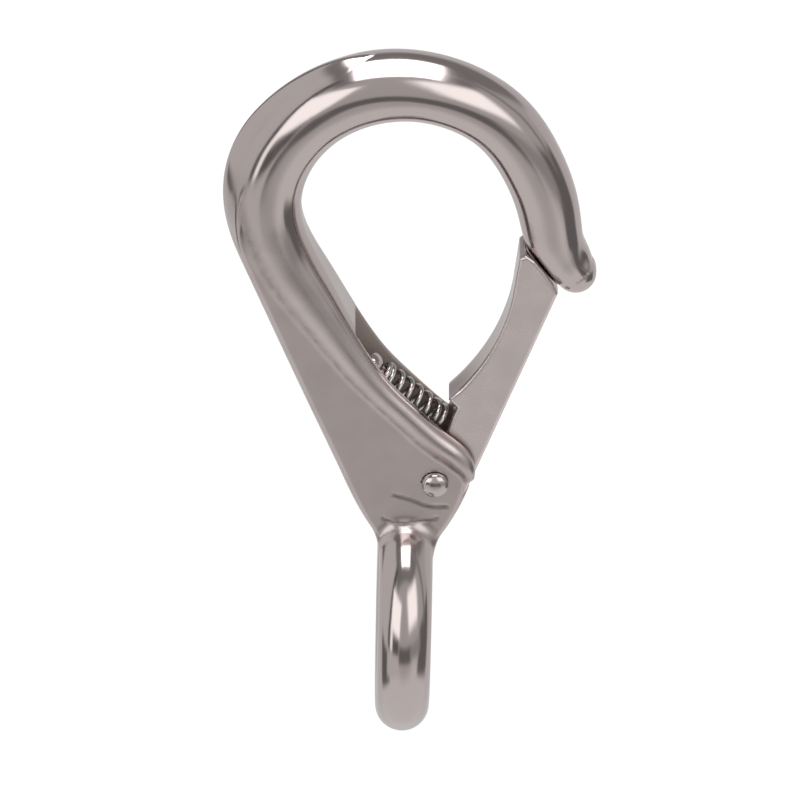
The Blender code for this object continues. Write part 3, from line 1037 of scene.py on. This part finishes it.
# The studio as the hook sees it, in light boxes and dark gaps mixed over each other. Each has
# the azimuth (0 is towards the camera, + to the right) and elevation of its middle, its half
# width and half height, its soft edge (all in degrees) and its brightness.
ROOM_LIGHT = 0.50
STUDIO_CARDS = (
    ("table", 0, -90, 60, 50, 24, 0.72),
    ("backdrop_foot", 180, -38, 60, 18, 18, 0.62),
    ("backdrop", 180, -5, 36, 25, 14, 0.62),
    ("back_gap", 180, 48, 56, 24, 12, 0.24),
    ("above", 0, 90, 42, 34, 10, 0.22),
    ("left_wall", -100, 14, 28, 38, 6, 0.62),
    ("left_back_gap", -136, 14, 12, 24, 6, 0.16),
    ("left_front_gap", -66, 20, 5, 34, 3, 0.12),
    ("right_wall", 130, -2, 24, 16, 12, 0.60),
    ("left_gap", -88, -30, 18, 12, 6, 0.15),
    ("right_gap", 84, -20, 22, 18, 8, 0.16),
    ("right_back_gap", 86, 28, 4, 36, 4, 0.28),
    ("left_table", -50, -24, 24, 14, 8, 0.62),
    ("left_edge", -49, -8, 24, 7, 6, 0.13),
    ("front_edge", 2, -15, 24, 9, 7, 0.16),
    ("right_edge", 45, -12, 22, 7, 8, 0.34),
    ("left_softbox", -41, 19, 20, 16, 5, 1.50),
    ("left_softbox_foot", -57, -4, 5, 10, 5, 1.30),
    ("right_softbox", 36, 28, 20, 18, 12, 1.50),
)
FLOOR_LIGHT = 1.15

# The light box close above the hook: its brightness, and its place in millimetres
OVERHEAD_LIGHT = 3.0
OVERHEAD_Z = 180
OVERHEAD_X = (-53, 53)
OVERHEAD_Y = (-66, 56)


def build_world():
    """The cards by direction for reflections, and one even light for everything else."""
    world = bpy.data.worlds.new("studio")
    bpy.context.scene.world = world
    world.use_nodes = True
    nodes, links = world.node_tree.nodes, world.node_tree.links
    background = nodes["Background"]
    direction = nodes.new("ShaderNodeTexCoord").outputs["Generated"]

    def math(operation, *values):
        node = nodes.new("ShaderNodeMath")
        node.operation = operation
        for socket, value in zip(node.inputs, values):
            if isinstance(value, bpy.types.NodeSocket):
                links.new(value, socket)
            else:
                socket.default_value = value
        return node.outputs[0]

    def along(axis):
        node = nodes.new("ShaderNodeVectorMath")
        node.operation = "DOT_PRODUCT"
        links.new(direction, node.inputs[0])
        node.inputs[1].default_value = axis
        return node.outputs["Value"]

    def inside(angle, half, soft):
        """1 within the half width of an angle in radians, and 0 beyond it."""
        node = nodes.new("ShaderNodeMapRange")
        node.interpolation_type = "SMOOTHSTEP"
        links.new(math("ABSOLUTE", angle), node.inputs["Value"])
        node.inputs["From Min"].default_value = radians(half + soft / 2)
        node.inputs["From Max"].default_value = radians(half - soft / 2)
        return node.outputs["Result"]

    light = ROOM_LIGHT
    for _, azimuth, elevation, half_width, half_height, soft, level in STUDIO_CARDS:
        a, e = radians(azimuth), radians(elevation)
        towards = (sin(a) * cos(e), -cos(a) * cos(e), sin(e))
        right = (cos(a), sin(a), 0)
        up = Vector(towards).cross(Vector(right))
        turn = math("ARCTAN2", along(right), along(towards))
        lift = math("ARCSINE", along(up))
        cover = math("MULTIPLY", inside(turn, half_width, soft), inside(lift, half_height, soft))
        light = math("MULTIPLY_ADD", cover, math("SUBTRACT", level, light), light)
    path = nodes.new("ShaderNodeLightPath")
    plain = math("MAXIMUM", path.outputs["Is Camera Ray"], path.outputs["Is Diffuse Ray"])
    light = math("MULTIPLY_ADD", plain, math("SUBTRACT", FLOOR_LIGHT, light), light)
    background.inputs["Color"].default_value = (1, 1, 1, 1)
    links.new(light, background.inputs["Strength"])


def build_overhead():
    """The light box close above the hook, which is seen only in reflections."""
    mesh = bpy.data.meshes.new("overhead_box")
    corners = [(x * MM, y * MM, OVERHEAD_Z * MM) for x in OVERHEAD_X for y in OVERHEAD_Y]
    mesh.from_pydata(corners, [], [(0, 1, 3, 2)])
    box = add_object("overhead_box", mesh)
    box.visible_camera = False
    box.visible_diffuse = False
    box.visible_shadow = False
    shader = Shader("overhead_box")
    shader.surface.inputs["Base Color"].default_value = (0, 0, 0, 1)
    shader.surface.inputs["Emission Color"].default_value = (1, 1, 1, 1)
    shader.surface.inputs["Emission Strength"].default_value = OVERHEAD_LIGHT
    mesh.materials.append(shader.material)


def build_floor():
    mesh = bpy.data.meshes.new("floor")
    work = bmesh.new()
    bmesh.ops.create_circle(work, cap_ends=True, segments=FLOOR_SIDES, radius=FLOOR_R)
    work.to_mesh(mesh)
    work.free()
    floor = add_object("floor", mesh)
    floor.location.z = cad_box[0].z - FLOOR_DROP
    floor.visible_glossy = False
    shader = Shader("floor")
    shader.surface.inputs["Metallic"].default_value = 0
    shader.surface.inputs["Roughness"].default_value = FLOOR_ROUGHNESS
    shade = shader.spread(shader.noise(*FLOOR_CLOUDS), *NOISE_RANGE)
    shader.link(shader.mix(shade, *FLOOR_SHADES), shader.surface.inputs["Base Color"])
    mesh.materials.append(shader.material)


def build_camera():
    """A long lens that looks straight at the front of the hook, and down on it."""
    data = bpy.data.cameras.new("camera")
    camera = add_object("camera", data)
    back = Vector((0, -cos(VIEW_ELEVATION), sin(VIEW_ELEVATION)))
    camera.location = VIEW_AIM + back * VIEW_DISTANCE
    camera.rotation_euler = (-back).to_track_quat("-Z", "Y").to_euler()
    data.lens = data.sensor_width * VIEW_DISTANCE / VIEW_WIDTH
    data.clip_end = VIEW_LIMIT
    bpy.context.scene.camera = camera


# ---------------------------------------------------------------- assembly

def finish_piece(obj, material, body, node):
    obj.data.materials.append(material)
    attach(obj, body)
    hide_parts(node)


def main():
    build_camera()
    build_floor()
    build_world()
    build_overhead()
    bpy.context.scene.view_settings.view_transform = "Standard"
    finish_piece(build_body(), casting_material(), "body", "hook_body")
    # The gate takes the lighter copy of the casting's steel, which is painted light
    gate_steel = cast_material("satin_casting", GATE_LIT_STEEL, dull_roughness=0.27, bright_roughness=0.15)
    finish_piece(build_gate(), gate_steel.material, "gate", "gate")
    finish_piece(build_rivet(), rivet_material(), "body", "pivot_rivet")
    spring = build_spring()
    spring.data.materials.append(wire_material())
    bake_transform(spring)
    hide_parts("gate_spring")


main()

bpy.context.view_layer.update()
